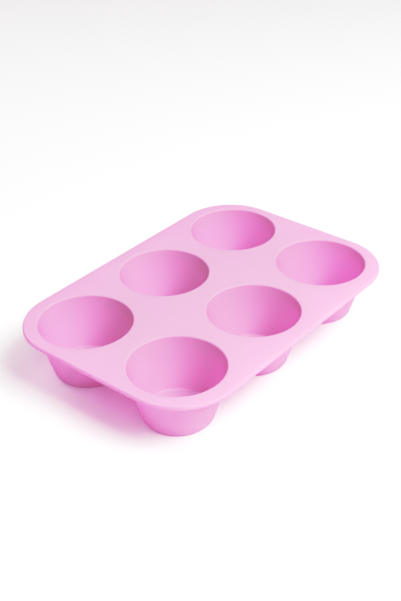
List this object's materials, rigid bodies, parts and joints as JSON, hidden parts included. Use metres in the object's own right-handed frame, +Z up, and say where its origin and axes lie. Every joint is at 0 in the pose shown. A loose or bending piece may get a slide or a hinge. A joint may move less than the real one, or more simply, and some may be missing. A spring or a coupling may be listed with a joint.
{
  "type": "silicone soap mould",
  "caption": "Flexible silicone tray with round tapered cups in a grid, for casting soap; it folds between its columns and each cup's floor pushes up to free the bar.",
  "frame": {"origin": "centre of the tray at the level of the table that its cups stand on", "axes": "+X along the tray's length, across its three columns; +Y across its width, towards the back row; +Z up, out of the cups' mouths"},
  "size_m": [0.263, 0.181, 0.043],
  "materials": {
    "silicone": "satin"
  },
  "bodies": {
    "middle_column": {"deck_middle": "silicone", "cup_neck_middle_front": "silicone", "cup_neck_middle_back": "silicone", "cup_wall_middle_front": "silicone", "cup_wall_middle_back": "silicone", "cup_heel_middle_front": "silicone", "cup_heel_middle_back": "silicone"},
    "left_column": {"deck_left": "silicone", "cup_neck_left_front": "silicone", "cup_neck_left_back": "silicone", "cup_wall_left_front": "silicone", "cup_wall_left_back": "silicone", "cup_heel_left_front": "silicone", "cup_heel_left_back": "silicone"},
    "right_column": {"deck_right": "silicone", "cup_neck_right_front": "silicone", "cup_neck_right_back": "silicone", "cup_wall_right_front": "silicone", "cup_wall_right_back": "silicone", "cup_heel_right_front": "silicone", "cup_heel_right_back": "silicone"},
    "floor_left_front": {"cup_floor_left_front": "silicone"},
    "floor_left_back": {"cup_floor_left_back": "silicone"},
    "floor_middle_front": {"cup_floor_middle_front": "silicone"},
    "floor_middle_back": {"cup_floor_middle_back": "silicone"},
    "floor_right_front": {"cup_floor_right_front": "silicone"},
    "floor_right_back": {"cup_floor_right_back": "silicone"}
  },
  "joints": [
    {"name": "bend_left", "type": "hinge", "parent": "middle_column", "child": "left_column", "pos_m": [-0.04375, 0, 0.0415], "axis": [0, 1, 0], "range_deg": [-40, 40], "stiffness_Nm_per_rad": 0.06},
    {"name": "bend_right", "type": "hinge", "parent": "middle_column", "child": "right_column", "pos_m": [0.04375, 0, 0.0415], "axis": [0, -1, 0], "range_deg": [-40, 40], "stiffness_Nm_per_rad": 0.06},
    {"name": "push_left_front", "type": "slide", "parent": "left_column", "child": "floor_left_front", "axis": [0, 0, 1], "range_m": [0, 0.02], "stiffness_N_per_m": 800},
    {"name": "push_left_back", "type": "slide", "parent": "left_column", "child": "floor_left_back", "axis": [0, 0, 1], "range_m": [0, 0.02], "stiffness_N_per_m": 800},
    {"name": "push_middle_front", "type": "slide", "parent": "middle_column", "child": "floor_middle_front", "axis": [0, 0, 1], "range_m": [0, 0.02], "stiffness_N_per_m": 800},
    {"name": "push_middle_back", "type": "slide", "parent": "middle_column", "child": "floor_middle_back", "axis": [0, 0, 1], "range_m": [0, 0.02], "stiffness_N_per_m": 800},
    {"name": "push_right_front", "type": "slide", "parent": "right_column", "child": "floor_right_front", "axis": [0, 0, 1], "range_m": [0, 0.02], "stiffness_N_per_m": 800},
    {"name": "push_right_back", "type": "slide", "parent": "right_column", "child": "floor_right_back", "axis": [0, 0, 1], "range_m": [0, 0.02], "stiffness_N_per_m": 800}
  ]
}
